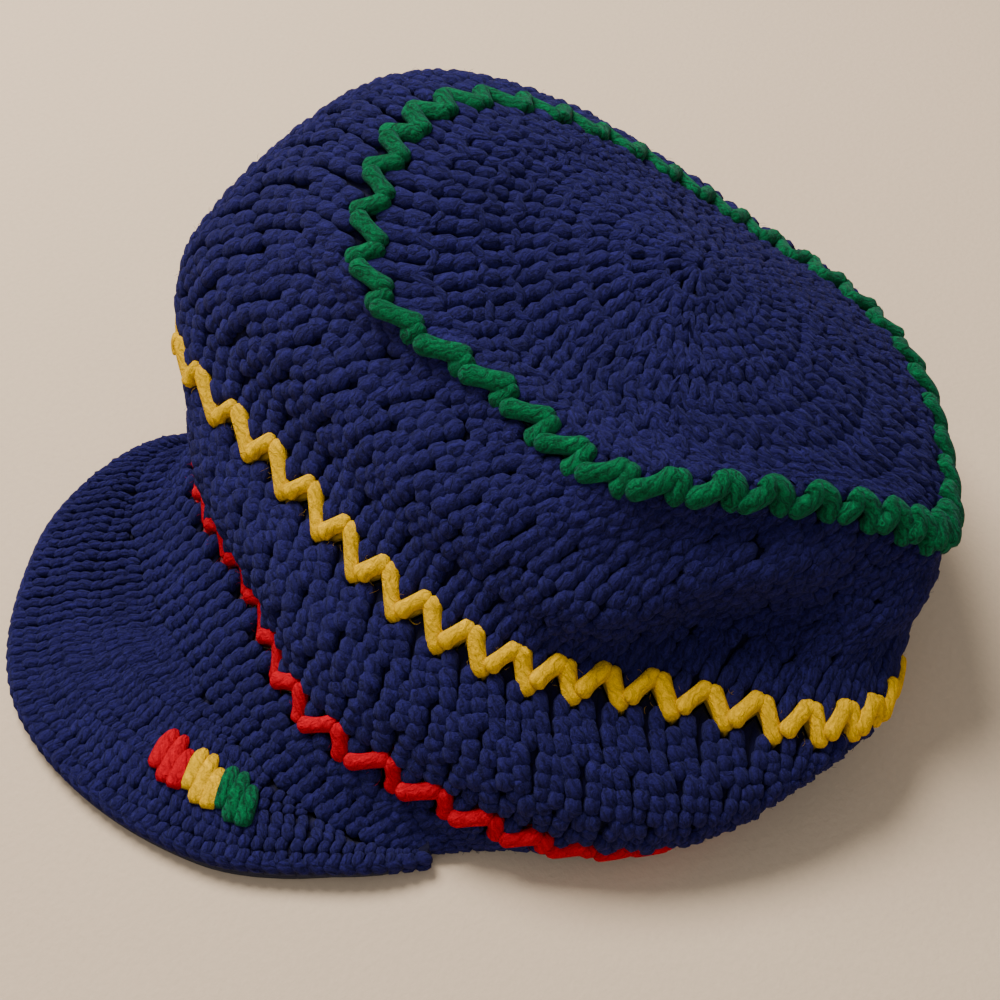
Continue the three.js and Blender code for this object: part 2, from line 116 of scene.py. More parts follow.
# Folds: degrees round, their spread, place, reach, and the push left, back and up as shares
FOLDS = {
    "front of crown in": (5, 34, 8, 2.4, -0.027, 0.09, 0),
    "left of crown in": (55, 32, 8, 2.2, -0.053, 0.135, 0.023),
    "left crown corner": (80, 24, 8.6, 2.2, 0.02, 0.015, 0),
    "right crown corner": (-75, 34, 9, 2.6, -0.042, -0.03, 0.023),
    "far side of crown in": (-130, 34, 8, 2.4, 0.045, 0, 0),
    "crown dimple": (-20, 45, 5.2, 1.8, 0, 0, -0.07),
    "left wall in": (55, 30, 10.9, 1.8, -0.09, 0.01, 0),
    "ridge foot": (42, 13, 12, 1.1, 0.02, -0.03, 0.023),
    "ridge head": (56, 12, 10.1, 1.2, 0.027, -0.036, 0.023),
    "recess": (68, 15, 12.2, 1.3, -0.034, 0.026, -0.008),
    "yellow pressed in": (65, 33, 14, 1.7, -0.11, 0, 0),
    "right front out": (-48, 26, 12.6, 2.4, -0.083, -0.104, 0),
    "back left in": (122, 30, 11, 2.4, -0.027, -0.068, 0),
    "left side tuck": (108, 22, 12.9, 1.4, -0.019, -0.005, 0),
    "lower left out": (92, 26, 15.9, 1.3, 0.015, -0.016, 0),
    "red front out": (7, 16, 17.7, 1.5, 0, -0.03, 0),
    "rim right in": (-100, 35, 20.4, 1.6, 0.06, 0, 0),
    "rim right back in": (-140, 40, 20.4, 1.9, 0.13, -0.02, 0),
    "rim right up": (-72, 24, 20.4, 1.8, 0, 0, 0.055),
    "right crown corner out": (-43, 18, 8, 1.8, -0.012, -0.06, -0.02),
    "front of crown droops": (7, 17, 8.2, 1.9, 0.014, -0.042, -0.042),
    "left crown corner in": (116, 24, 9.2, 1.8, -0.011, -0.022, 0),
    "lower bulge out": (122, 22, 12.3, 1.2, 0.022, 0.024, -0.014),
    "yellow front back": (-12, 20, 14, 1.5, 0, 0.022, 0.013),
    "yellow left down": (102, 20, 14, 1.7, 0.004, -0.004, -0.01),
    "red front in": (-22, 18, 17.7, 1.2, 0.005, 0.031, 0.013),
}

# Peak from the wearer's right to the left: degrees round the rim, reach as a share and turn
PEAK_SECTIONS = {
    "right end": (-85.5, 0.2, -50),
    "right corner": (-69, 0.42, -18),
    "right front": (-52, 0.66, -6),
    "front": (-19, 1, 0),
    "left front": (14, 0.63, 24),
    "left corner": (31, 0.32, 33),
    "left end": (49.5, 0.12, 56),
}
PEAK_ENDS = (-85.5, 49.5)

# Where the colour blocks lie round the rim and how far out, as a share
BLOCKS = {"red": (-1.5, 0.46), "yellow": (4.5, 0.42), "green": (10.5, 0.38)}


def smooth_table(places, values):
    """A smooth curve through the rows of a table."""
    places = np.array(places, float)
    values = np.array(values, float)
    gaps = np.diff(places)[:, None]
    rise = np.diff(values, axis=0) / gaps
    slopes = np.empty_like(values)
    slopes[0] = rise[0]
    slopes[-1] = rise[-1]
    slopes[1:-1] = (gaps[1:] * rise[:-1] + gaps[:-1] * rise[1:]) / (gaps[1:] + gaps[:-1])

    def curve(at):
        at = np.asarray(at, float)
        row = np.clip(np.searchsorted(places, at, side="right") - 1, 0, len(places) - 2)
        span = places[row + 1] - places[row]
        t = ((at - places[row]) / span)[..., None]
        span = span[..., None]
        return (
            (1 + 2 * t) * (1 - t) ** 2 * values[row]
            + t * (1 - t) ** 2 * span * slopes[row]
            + t * t * (3 - 2 * t) * values[row + 1]
            + t * t * (t - 1) * span * slopes[row + 1]
        )

    return curve


ring_at = smooth_table(
    [plan[0] for plan in RING_PLANS.values()],
    [plan[1:] + RING_HEIGHTS[name] for name, plan in RING_PLANS.items()],
)
peak_at = smooth_table(
    [section[0] for section in PEAK_SECTIONS.values()],
    [section[1:] for section in PEAK_SECTIONS.values()],
)
RIM = RING_PLANS["rim"][0]


def cap_point(at, around):
    """Points on the cap's outer face."""
    at, around = np.broadcast_arrays(np.asarray(at, float), np.asarray(around, float))
    left, back, wide, long, square, turn, skew, front, left_up, back_up, right_up = np.moveaxis(
        ring_at(at), -1, 0
    )
    across = np.sin(np.radians(around + turn))
    along = np.cos(np.radians(around + turn))
    corner = 1 + square * (2 * across * along) ** 2
    side = np.sin(np.radians(around))
    ahead = np.cos(np.radians(around))
    x = left + wide / 2 * across * corner
    x = x * CAP_WIDTH
    y = (back - long / 2 * along * corner) * CAP_LENGTH + skew * CAP_WIDTH * across
    z = np.where(ahead > 0, front, back_up) * ahead**2 + np.where(side > 0, left_up, right_up) * side**2
    for centre, spread, place, reach, push_left, push_back, push_up in FOLDS.values():
        turned = (around - centre + 180) % 360 - 180
        share = np.exp(-((turned / spread) ** 2) - ((at - place) / reach) ** 2)
        x = x + push_left * CAP_WIDTH * share
        y = y + push_back * CAP_LENGTH * share
        z = z + push_up * share
    return np.stack([x, y, np.maximum(z * CAP_HEIGHT, 0)], -1) + HEAD_MIDDLE


ARC_PLACES = np.linspace(0, RIM, 409)
ARC_STEP = 1.5
ARC_ANGLES = np.arange(0, 360, ARC_STEP)
_net = cap_point(ARC_PLACES[:, None], ARC_ANGLES[None, :])
ARC = np.concatenate(
    [np.zeros((1, len(ARC_ANGLES))), np.cumsum(np.linalg.norm(np.diff(_net, axis=0), axis=-1), axis=0)]
)


def arc(at, around):
    """The way along the face from the crown's centre."""
    row = np.clip(np.asarray(at, float) / RIM, 0, 1) * (len(ARC_PLACES) - 1)
    i = np.minimum(row.astype(int), len(ARC_PLACES) - 2)
    f = row - i
    column = (np.asarray(around, float) % 360) / ARC_STEP
    j = column.astype(int) % len(ARC_ANGLES)
    g = column - column.astype(int)
    k = (j + 1) % len(ARC_ANGLES)
    near = ARC[i, j] * (1 - f) + ARC[i + 1, j] * f
    far = ARC[i, k] * (1 - f) + ARC[i + 1, k] * f
    return near * (1 - g) + far * g


def place_along(at, around, distance):
    """The place reached by going a distance along the face."""
    at, around, distance = np.broadcast_arrays(
        np.asarray(at, float), np.asarray(around, float), np.asarray(distance, float)
    )
    goal = arc(at, around) + distance
    low = np.zeros(at.shape)
    high = np.full(at.shape, float(RIM))
    for _ in range(20):
        middle = (low + high) / 2
        short = arc(middle, around) < goal
        low = np.where(short, middle, low)
        high = np.where(short, high, middle)
    return (low + high) / 2


def unit(vectors):
    return vectors / np.maximum(np.linalg.norm(vectors, axis=-1, keepdims=True), 1e-12)


def cap_face(at, around):
    """Points on the cap's face and its outward directions there."""
    at = np.clip(at, 0.12, RIM)
    run = cap_point(np.minimum(at + 0.16, RIM), around) - cap_point(np.maximum(at - 0.16, 0.02), around)
    round_ = cap_point(at, around + 1.5) - cap_point(at, around - 1.5)
    return cap_point(at, around), unit(np.cross(run, round_))


def peak_reach(around):
    return peak_at(around)[..., 0] * PEAK_REACH


def peak_point(around, out):
    """Points on the peak's top, out from the rim, and on its underside."""
    around, out = np.broadcast_arrays(np.asarray(around, float), np.asarray(out, float))
    reach = peak_reach(around)
    turn = np.radians(peak_at(around)[..., 1])
    rim, normal = cap_face(np.full(around.shape, float(RIM)), around)
    start = rim + unit(rim - cap_point(RIM - 0.3, around)) * 0.3 * MM
    t = np.clip(out / (SETTLE_SHARE * PEAK_REACH), 0, 1)
    settled = t * t * (3 - 2 * t)
    swell = PEAK_SWELL * np.sin(np.pi * np.clip(out / reach, 0, 1))
    top = np.stack(
        [
            start[..., 0] + out * np.sin(turn),
            start[..., 1] - out * np.cos(turn),
            start[..., 2] * (1 - settled) + PEAK_THICKNESS * settled + swell,
        ],
        -1,
    )
    down = unit(-normal * (1 - settled)[..., None] + np.array([0, 0, -1.0]) * settled[..., None])
    under = top + down * (WALL * (1 - settled) + PEAK_THICKNESS * settled)[..., None]
    under[..., 2] = np.maximum(under[..., 2], 0)
    return top, under


def peak_face(out, around):
    """Points on the peak's top and its upward directions there."""
    step = 1 * MM
    top = peak_point(around, out)[0]
    run = peak_point(around, out + step)[0] - peak_point(around, np.maximum(out - step, 0))[0]
    round_ = peak_point(around + 1, out)[0] - peak_point(around - 1, out)[0]
    return top, unit(np.cross(run, round_))


def tooth(around):
    """The zigzag of a coloured round, as a distance towards the rim."""
    share = ((around - FIRST_TIP) / PITCH) % 1
    return (2 * np.abs(2 * share - 1) - 1) * -TOOTH_HEIGHT / 2


HALF_PITCH = math.pi * (CAP_WIDTH + CAP_LENGTH) / 2 / (2 * TEETH)
SLANT = math.hypot(1, TOOTH_HEIGHT / HALF_PITCH)


def round_edge(ring, side, around, grow=0.0):
    """The zigzag edge of a coloured round towards the crown (-1) or the rim (1)."""
    distance = tooth(around) + side * (CORD_WIDTH / 2 * SLANT + grow)
    return place_along(RING_PLANS[ring][0], around, distance)


class Fabric:
    """The mesh of one piece while it is worked: points, faces, their yarn map and materials."""

    def __init__(self):
        self.points = []
        self.corners = []
        self.sizes = []
        self.maps = []
        self.slots = []
        self.count = 0

    def add(self, points, corners, sizes, maps, slot):
        self.points.append(points.reshape(-1, 3))
        self.corners.append(corners.ravel() + self.count)
        self.sizes.append(sizes.ravel())
        self.maps.append(maps.reshape(-1, 2))
        self.slots.append(np.full(sizes.size, slot))
        self.count += len(self.points[-1])

    def make(self, name, colour, node):
        """The finished object, which stands for a CAD node."""
        points = np.concatenate(self.points)
        points[:, 2] = np.maximum(points[:, 2], TABLE)
        sizes = np.concatenate(self.sizes)
        mesh = bpy.data.meshes.new(name)
        mesh.vertices.add(len(points))
        mesh.vertices.foreach_set("co", points.ravel())
        mesh.loops.add(int(sizes.sum()))
        mesh.loops.foreach_set("vertex_index", np.concatenate(self.corners))
        mesh.polygons.add(len(sizes))
        mesh.polygons.foreach_set("loop_start", np.concatenate([[0], np.cumsum(sizes)[:-1]]))
        mesh.polygons.foreach_set("material_index", np.concatenate(self.slots))
        layer = mesh.uv_layers.new(name="yarn")
        layer.data.foreach_set("uv", np.concatenate(self.maps).ravel())
        mesh.update(calc_edges=True)
        mesh.validate()
        for material in yarn(colour):
            mesh.materials.append(material)
        piece = bpy.data.objects.new(name, mesh)
        bpy.context.scene.collection.objects.link(piece)
        deselect()
        piece.select_set(True)
        bpy.context.view_layer.objects.active = piece
        bpy.ops.object.mode_set(mode="EDIT")
        bpy.ops.mesh.select_all(action="SELECT")
        bpy.ops.mesh.remove_doubles(threshold=1e-7)
        bpy.ops.object.mode_set(mode="OBJECT")
        bpy.ops.object.shade_smooth()
        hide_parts(node)
        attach(piece, "root")
        return piece


def deselect():
    if bpy.context.object and bpy.context.object.mode != "OBJECT":
        bpy.ops.object.mode_set(mode="OBJECT")
    bpy.ops.object.select_all(action="DESELECT")


class Strand:
    """A short length of yarn that is modelled once, lies along Z and is copied over the fabric."""

    def __init__(self, name, sides, cuts, ends):
        """ends gives how the last rings shrink, from the tip inwards."""
        deselect()
        bpy.ops.mesh.primitive_cylinder_add(
            vertices=sides, radius=1, depth=1, end_fill_type="TRIFAN", calc_uvs=True
        )
        piece = bpy.context.object
        piece.name = name
        bpy.ops.object.mode_set(mode="EDIT")
        bpy.ops.mesh.select_all(action="DESELECT")
        mesh = bmesh.from_edit_mesh(piece.data)
        for edge in mesh.edges:
            low, high = (vertex.co.z for vertex in edge.verts)
            edge.select_set(abs(high - low) > 0.5)
        bmesh.update_edit_mesh(piece.data)
        bpy.ops.mesh.subdivide(number_cuts=cuts)
        for level, size in enumerate(ends):
            place = 0.5 - level / (cuts + 1)
            for end in (-place, place):
                bpy.ops.mesh.select_all(action="DESELECT")
                mesh = bmesh.from_edit_mesh(piece.data)
                for vertex in mesh.verts:
                    vertex.select_set(abs(vertex.co.z - end) < 1e-3)
                bmesh.update_edit_mesh(piece.data)
                bpy.ops.transform.resize(value=(size, size, 1))
        bpy.ops.object.mode_set(mode="OBJECT")
        mesh = piece.data
        self.points = np.array([vertex.co for vertex in mesh.vertices])
        self.levels, self.ring = np.unique(np.round(self.points[:, 2] + 0.5, 4), return_inverse=True)
        self.ring = self.ring.ravel()
        self.corners = np.array([loop.vertex_index for loop in mesh.loops])
        self.sizes = np.array([len(face.vertices) for face in mesh.polygons])
        # Once round is one unit of u. The seam lies underneath.
        corner_points = self.points[self.corners]
        turn = (np.degrees(np.arctan2(corner_points[:, 0], -corner_points[:, 1])) / 360) % 1
        start = np.concatenate([[0], np.cumsum(self.sizes)[:-1]])
        for first, size in zip(start, self.sizes):
            span = turn[first : first + size]
            if span.max() - span.min() > 0.5:
                span[span < 0.5] += 1
        self.turn = turn
        bpy.data.objects.remove(piece)
        bpy.data.meshes.remove(mesh)

    def lay(self, fabric, face, a, b, height, wide, thick, slot=0, seed=0):
        """Copies the strand along paths on a face. a, b, height, wide and thick are one row for each
        copy and one column for each ring of the strand."""
        shape = np.broadcast_shapes(*(np.shape(v) for v in (a, b, height, wide, thick)))
        a, b, height, wide, thick = (np.broadcast_to(v, shape) for v in (a, b, height, wide, thick))
        point, normal = face(a, b)
        centre = point + normal * height[..., None]
        along = unit(np.gradient(centre, axis=1))
        across = unit(np.cross(normal, along))
        out = np.cross(along, across)
        ring = self.ring
        points = (
            centre[:, ring]
            + across[:, ring] * (self.points[:, 0] * wide[:, ring])[..., None]
            + out[:, ring] * (self.points[:, 1] * thick[:, ring])[..., None]
        )
        copies = shape[0]
        length = np.linalg.norm(np.diff(centre, axis=1), axis=-1).sum(axis=1)
        offset = np.random.default_rng(seed).uniform(0, 10, copies)
        v = (self.points[self.corners, 2] + 0.5)[None] * length[:, None] * 100 + offset[:, None]
        maps = np.stack([np.broadcast_to(self.turn, v.shape), v], -1)
        step = np.arange(copies)[:, None] * len(self.points)
        fabric.add(points, self.corners[None] + step, np.tile(self.sizes, copies), maps, slot)


def add_shell(fabric, outer, inner, ring, slot, per_turn, rows):
    """A closed wall between two grids of points, rows by columns."""
    section = np.concatenate([outer, inner[::-1]])
    count, columns = section.shape[:2]
    index = np.arange(count * columns).reshape(count, columns)
    reach = columns if ring else columns - 1
    nxt = (np.arange(reach) + 1) % columns
    down = np.roll(index, -1, axis=0)
    quads = np.stack([index[:, :reach], down[:, :reach], down[:, nxt], index[:, nxt]], -1)
    u = np.arange(columns + 1) / columns * per_turn
    v = np.concatenate([np.linspace(0, rows, len(outer)), np.linspace(rows, 0, len(inner))])
    v_next = np.roll(v, -1)
    shape = (count, reach)
    left = np.broadcast_to(u[:reach], shape)
    right = np.broadcast_to(u[1 : reach + 1], shape)
    here = np.broadcast_to(v[:, None], shape)
    there = np.broadcast_to(v_next[:, None], shape)
    maps = np.stack(
        [
            np.stack([left, here], -1),
            np.stack([left, there], -1),
            np.stack([right, there], -1),
            np.stack([right, here], -1),
        ],
        2,
    )
    corner = section.reshape(-1, 3)[quads.reshape(-1, 4)]
    volume = np.einsum("ij,ij->i", corner[:, 0], np.cross(corner[:, 1], corner[:, 2])).sum()
    volume += np.einsum("ij,ij->i", corner[:, 0], np.cross(corner[:, 2], corner[:, 3])).sum()
    if volume < 0:
        quads = quads[..., ::-1]
        maps = maps[..., ::-1, :]
    sizes = np.full(quads.shape[0] * quads.shape[1], 4)
    fabric.add(section, quads, sizes, maps, slot)
    if not ring:
        for column, turned in ((0, False), (columns - 1, True)):
            edge = np.arange(count)
            lid = section[:, column]
            middle = len(outer)
            low = edge[: middle - 1]
            quads = np.stack([low, low + 1, count - 2 - low, count - 1 - low], -1)
            if turned == (volume < 0):
                quads = quads[:, ::-1]
            fabric.add(lid, quads, np.full(len(quads), 4), np.zeros((quads.size, 2)), slot)


# Materials


class Graph:
    """A short way to write the nodes of one material."""

    def __init__(self, material):
        material.use_nodes = True
        self.tree = material.node_tree
        self.tree.nodes.clear()

    def node(self, kind, **values):
        node = self.tree.nodes.new(kind)
        for key, value in values.items():
            setattr(node, key, value)
        return node

    def feed(self, node, sockets):
        for key, value in sockets.items():
            if isinstance(value, bpy.types.NodeSocket):
                self.tree.links.new(value, node.inputs[key])
            else:
                node.inputs[key].default_value = value
        return node

    def maths(self, operation, a, b=0.0, c=0.0):
        node = self.node("ShaderNodeMath", operation=operation)
        return self.feed(node, {0: a, 1: b, 2: c}).outputs[0]

    def noise(self, vector, scale, detail=2.0, roughness=0.5):
        node = self.node("ShaderNodeTexNoise")
        sockets = {"Vector": vector, "Scale": scale, "Detail": detail, "Roughness": roughness}
        return self.feed(node, sockets).outputs["Fac"]

    def range(self, value, low, high, to_low, to_high):
        node = self.node("ShaderNodeMapRange")
        sockets = {"Value": value, 1: low, 2: high, 3: to_low, 4: to_high}
        return self.feed(node, sockets).outputs[0]

    def blend(self, factor, a, b):
        node = self.node("ShaderNodeMix", data_type="RGBA")
        return self.feed(node, {0: factor, 6: a, 7: b}).outputs[2]

    def ripple(self, value):
        """Half waves, one to each unit of the value."""
        return self.maths("ABSOLUTE", self.maths("SINE", self.maths("MULTIPLY", value, math.pi)))

    def yarn_map(self):
        """The way round the yarn, the way along it and the place in the object."""
        uv = self.node("ShaderNodeUVMap", uv_map="yarn").outputs[0]
        split = self.feed(self.node("ShaderNodeSeparateXYZ"), {0: uv}).outputs
        return split[0], split[1], self.node("ShaderNodeTexCoord").outputs["Object"]

    def bump(self, strength, distance, height):
        sockets = {"Strength": strength, "Distance": distance, "Height": height}
        return self.feed(self.node("ShaderNodeBump"), sockets).outputs[0]

    def finish(self, sockets):
        surface = self.feed(self.node("ShaderNodeBsdfPrincipled"), sockets)
        self.feed(self.node("ShaderNodeOutputMaterial"), {"Surface": surface.outputs[0]})


def shade(colour, factor):
    return (*(min(1, channel * factor) for channel in colour[:3]), 1)


def yarn_material(name, settings, colour):
    """Spun acrylic yarn: slanting plies, fine fibres, uneven dye, a soft bloom of loose fibre, painted
    shade in the grooves and painted highlights on the crests.
    """
    material = bpy.data.materials.new(name)
    g = Graph(material)
    across, along, place = g.yarn_map()
    wander = g.noise(place, 260.0, 1.0)
    twist = g.maths("MULTIPLY", along, settings.twist)
    turns = g.maths("MULTIPLY_ADD", across, float(settings.plies), twist)
    turns = g.maths("ADD", turns, g.maths("MULTIPLY", wander, 2.2))
    plies = g.ripple(turns)
    strand = g.feed(
        g.node("ShaderNodeCombineXYZ"),
        {
            0: g.maths("MULTIPLY", turns, 2.2),
            1: g.maths("MULTIPLY", along, 1.1),
            2: g.maths("MULTIPLY", wander, 2.0),
        },
    ).outputs[0]
    fibres = g.noise(strand, 2.4, 3.0, 0.65)
    fluff = g.noise(place, 1500.0, 2.0, 0.6)
    dye = g.noise(place, 38.0, 2.0)
    # Painted shade and highlight: the tone follows the relief of the plies, fibres and fluff that also
    # drives the bump, low in the hollows and high on the crests
    painted_relief_shading = g.maths("MULTIPLY_ADD", plies, 0.22, g.maths("MULTIPLY", fibres, 1.15))
    painted_relief_shading = g.maths("MULTIPLY_ADD", fluff, 0.7, painted_relief_shading)
    painted_relief_shading = g.range(painted_relief_shading, 0.82, 1.35, 0.0, 1.0)
    bright = max(colour[:3]) > 0.3
    # Painted shade: the yarn's colour darkened where the tone is low, between the plies and fibres
    painted_shade_colour = shade(colour, settings.painted_groove_shade + 0.2 * bright)
    # Painted highlight: the yarn's colour lightened where the tone is high, on the crests, strongly for
    # the dark yarns
    light = shade(colour, 1.05 if bright else settings.painted_crest_highlight)
    base = g.blend(painted_relief_shading, painted_shade_colour, light)
    base = g.blend(g.range(dye, 0.35, 0.7, 0.0, 0.32), base, shade(colour, 0.72))
    height = g.maths("MULTIPLY_ADD", plies, 0.3, g.maths("MULTIPLY", fibres, 1.0))
    height = g.maths("MULTIPLY_ADD", fluff, 0.4, height)
    g.finish(
        {
            "Base Color": base,
            "Roughness": 0.92,
            "Specular IOR Level": 0.1,
            "Sheen Weight": 0.03 if bright else settings.bloom,
            "Sheen Roughness": 0.55,
            "Sheen Tint": shade(colour, 1.0) if bright else (0.2, 0.22, 0.6, 1),
            "Normal": g.bump(0.85, MM, height),
        }
    )
    return material


def shaded_ground_material(name, settings, colour):
    """The fabric behind the stitches: the same yarn in rows of posts, seen in the holes and inside, with
    its colour darkened as painted shade.
    """
    material = bpy.data.materials.new(name)
    g = Graph(material)
    across, along, place = g.yarn_map()
    form = g.maths("MULTIPLY", g.ripple(across), g.maths("POWER", g.ripple(along), 0.35))
    height = g.maths("MULTIPLY_ADD", g.noise(place, 700.0, 3.0, 0.62), 0.35, form)
    painted_relief_shading = g.range(height, 0.1, 1.3, 0.0, 1.0)
    g.finish(
        {
            # Painted shade: the ground is painted at 0.3 to 0.85 of the yarn's colour, darkest in the
            # hollows between its posts
            "Base Color": g.blend(painted_relief_shading, shade(colour, 0.3), shade(colour, 0.85)),
            "Roughness": 0.95,
            "Specular IOR Level": 0.12,
            "Sheen Weight": settings.bloom * 0.5,
            "Sheen Roughness": 0.6,
            "Normal": g.bump(0.9, 1.6 * MM, height),
        }
    )
    return material


def yarn(colour_name):
    """The yarn and ground materials of one colour, made once."""
    name = f"{colour_name}_spun"
    if name not in bpy.data.materials:
        settings = bpy.context.scene.tam_yarn
        colour = getattr(settings, colour_name)
        yarn_material(name, settings, colour)
        # The ground material carries painted shade for the holes and the inside
        shaded_ground_material(f"{colour_name}_ground", settings, colour)
    return [bpy.data.materials[name], bpy.data.materials[f"{colour_name}_ground"]]


# Stitches


def uneven(shape, seed, amount):
    return np.random.default_rng(seed).uniform(-amount, amount, shape)


def lay_posts(fabric, strand, face, start, end, wide, thick, sink, seed, wraps=3, slant=0.5):
    """Posts from start to end, each (around, place) for every copy. A post is a row of short wraps of
    yarn that overlap like shingles and lean over by a slant in degrees."""
    copies = len(start[0])
    u = strand.levels[None]
    for wrap in range(wraps):
        t = (wrap - 0.16 + 1.4 * u) / wraps + uneven((copies, 1), seed + wrap, 0.035)
        lean = slant * (u - 0.5) + uneven((copies, 1), seed + wrap + 10, 0.16)
        around = start[0][:, None] + (end[0] - start[0])[:, None] * t + lean
        place = start[1][:, None] + (end[1] - start[1])[:, None] * np.clip(t, -0.04, 1.04)
        size = 1 + 0.1 * np.sin(math.pi * u) + uneven((copies, 1), seed + wrap + 20, 0.09)
        height = 0.9 * MM * (0.45 - u) + 0.5 * MM * np.sin(math.pi * u) - sink
        height = height + uneven((copies, 1), seed + wrap + 30, 0.4 * MM)
        strand.lay(
            fabric, face, place, around, height, wide * size, thick * size, seed=seed + wrap + 40
        )


def half_width(face, place, around, spacing, low, high):
    """Half the width that lets neighbouring posts touch."""
    gap = face(place, around + spacing / 2)[0] - face(place, around - spacing / 2)[0]
    return np.clip(np.linalg.norm(gap, axis=-1) * 0.52, low, high)[:, None]


def even(edge, around):
    """A zigzag edge levelled out."""
    return (edge(around + PITCH / 4) + edge(around - PITCH / 4)) / 2


def row_place(edges, share, around):
    """The place of a row's edge, a share of the way between a wall's two zigzag edges."""
    begin, finish = (even(edge, around) for edge in edges)
    return np.clip(begin + (finish - begin) * share, edges[0](around), edges[1](around))


def fanned_rows(fabric, strand, edges, rows, post, seed):
    """Rows of fans on a wall. The posts of a fan spread out of one hole, and the next row's holes lie
    between the fans. edges gives the wall's first and last place at an angle."""
    for row in range(rows):
        hole = FIRST_TIP + PITCH * (np.arange(TEETH) + 0.5 * ((row + 1) % 2))
        side = np.tile([-1.0, 0.0, 1.0], TEETH)
        hole = np.repeat(hole, 3)
        narrow = hole + side * 2.2 + uneven(hole.shape, seed + row, 0.25)
        broad = hole + side * 3.1 + uneven(hole.shape, seed + row + 40, 0.3)
        low = row / rows + uneven(hole.shape, seed + row + 80, 0.016)
        high = (row + 1) / rows + uneven(hole.shape, seed + row + 120, 0.016)
        start = (narrow, edges[0](narrow) if row == 0 else row_place(edges, low, narrow))
        end = (broad, edges[1](broad) if row == rows - 1 else row_place(edges, high, broad))
        wide = half_width(cap_face, (start[1] + end[1]) / 2, hole, PITCH / 3, 2 * MM, 3.7 * MM)
        lay_posts(
            fabric, strand, cap_face, start, end, wide, post.thickness / 2, post.sink,
            seed * 97 + 50 * row,
        )


def fuzz(fabric, strand, face, a_span, b_span, count, seed, reach=3.2 * MM):
    """Loose fibres that stand off the fabric."""
    random = np.random.default_rng(seed)
    a = random.uniform(*a_span, (count, 1))
    b = random.uniform(*b_span, (count, 1))
    t = strand.levels[None]
    heading = random.uniform(0, 2 * math.pi, (count, 1))
    length = random.uniform(0.4, 1.0, (count, 1)) * reach
    bend = random.uniform(-1.5, 1.5, (count, 1))
    point, normal = face(a, b)
    side = unit(np.cross(normal, np.array([0.2, 0.3, 1.0])))
    other = np.cross(normal, side)
    swing = heading + bend * t
    flat = side * np.cos(swing)[..., None] + other * np.sin(swing)[..., None]
    rise = normal * (np.sin(t * 1.3) * random.uniform(0.25, 0.8, (count, 1)))[..., None]
    path = point + normal * 1.2 * MM + (flat * t[..., None] * 0.9 + rise) * length[..., None]

    def along_path(rows, _):
        return path, np.broadcast_to(normal, path.shape)

    size = 0.055 * MM
    strand.lay(fabric, along_path, np.zeros(path.shape[:2]), 0.0, 0.0, size, size, seed=seed)


def wrap_strand():
    return Strand("wrap_strand", 7, 3, (0.55, 1.0))


def thin_strand():
    return Strand("thin_strand", 3, 3, (0.4, 1.0))


def wall_shell(fabric, start, end, rows, per_turn, inset, seen_rows):
    """The ground of a wall between two edges. per_turn and seen_rows count the posts and rows that its
    material shows."""
    around = np.arange(0, 360, 360 / 160) + FIRST_TIP
    share = np.linspace(0, 1, rows)[:, None]
    at = start(around)[None] * (1 - share) + end(around)[None] * share
    point, normal = cap_face(at, np.broadcast_to(around, at.shape))
    add_shell(fabric, point - normal * inset, point - normal * WALL, True, 1, per_turn, seen_rows)


# Settings


class TamYarn(bpy.types.PropertyGroup):
    """The yarn and its colours."""

    navy: FloatVectorProperty(
        name="Navy", description="Main colour", subtype="COLOR", size=3, min=0, max=1,
        default=(0.0095, 0.0075, 0.062),
    )
    green: FloatVectorProperty(
        name="Green", description="First coloured round", subtype="COLOR", size=3, min=0, max=1,
        default=(0.0, 0.085, 0.026),
    )
    yellow: FloatVectorProperty(
        name="Yellow", description="Second coloured round", subtype="COLOR", size=3, min=0, max=1,
        default=(0.92, 0.52, 0.0),
    )
    red: FloatVectorProperty(
        name="Red", description="Third coloured round", subtype="COLOR", size=3, min=0, max=1,
        default=(0.62, 0.0, 0.014),
    )
    plies: IntProperty(
        name="Plies", description="Streaks counted once round the yarn", default=6, min=2, max=12
    )
    twist: FloatProperty(
        name="Twist", description="Streaks counted over a centimetre of yarn", default=1.7, min=0, max=20
    )
    # Painted shade: how dark the yarn's colour is painted between the plies
    painted_groove_shade: FloatProperty(
        name="Groove shade", description="Brightness between the plies", default=0.34, min=0, max=1
    )
    # Painted highlight: how light the dark yarns are painted on the crests of the plies
    painted_crest_highlight: FloatProperty(
        name="Crest shade", description="Brightness on the plies", default=2.1, min=0, max=3
    )
    bloom: FloatProperty(
        name="Bloom", description="Soft light that loose fibres catch", default=0.12, min=0, max=1
    )


class TamPost(bpy.types.PropertyGroup):
    """One post of a stitch."""

    thickness: FloatProperty(
        name="Thickness", description="Thickness of a post", subtype="DISTANCE", unit="LENGTH",
        default=5.2 * MM,
    )
    sink: FloatProperty(
        name="Sink", description="Depth of a post's middle under the face", subtype="DISTANCE",
        unit="LENGTH", default=1.1 * MM,
    )


class TamRows(bpy.types.PropertyGroup):
    """How many rows of stitches each part of the cap has."""

    crown: IntProperty(name="Crown rounds", description="Rounds of the crown", default=8, min=3, max=14)
    crown_growth: IntProperty(
        name="Crown growth", description="Stitches added in each round", default=12, min=6, max=24
    )
    upper: IntProperty(
        name="Upper wall rows", description="Rows above the yellow", default=5, min=2, max=9
    )
    lower: IntProperty(
        name="Lower wall rows", description="Rows below the yellow", default=3, min=2, max=9
    )
    band: IntProperty(name="Headband rows", description="Rows of the headband", default=2, min=1, max=6)
    peak: IntProperty(name="Peak columns", description="Ribs across the peak", default=74, min=20, max=90)


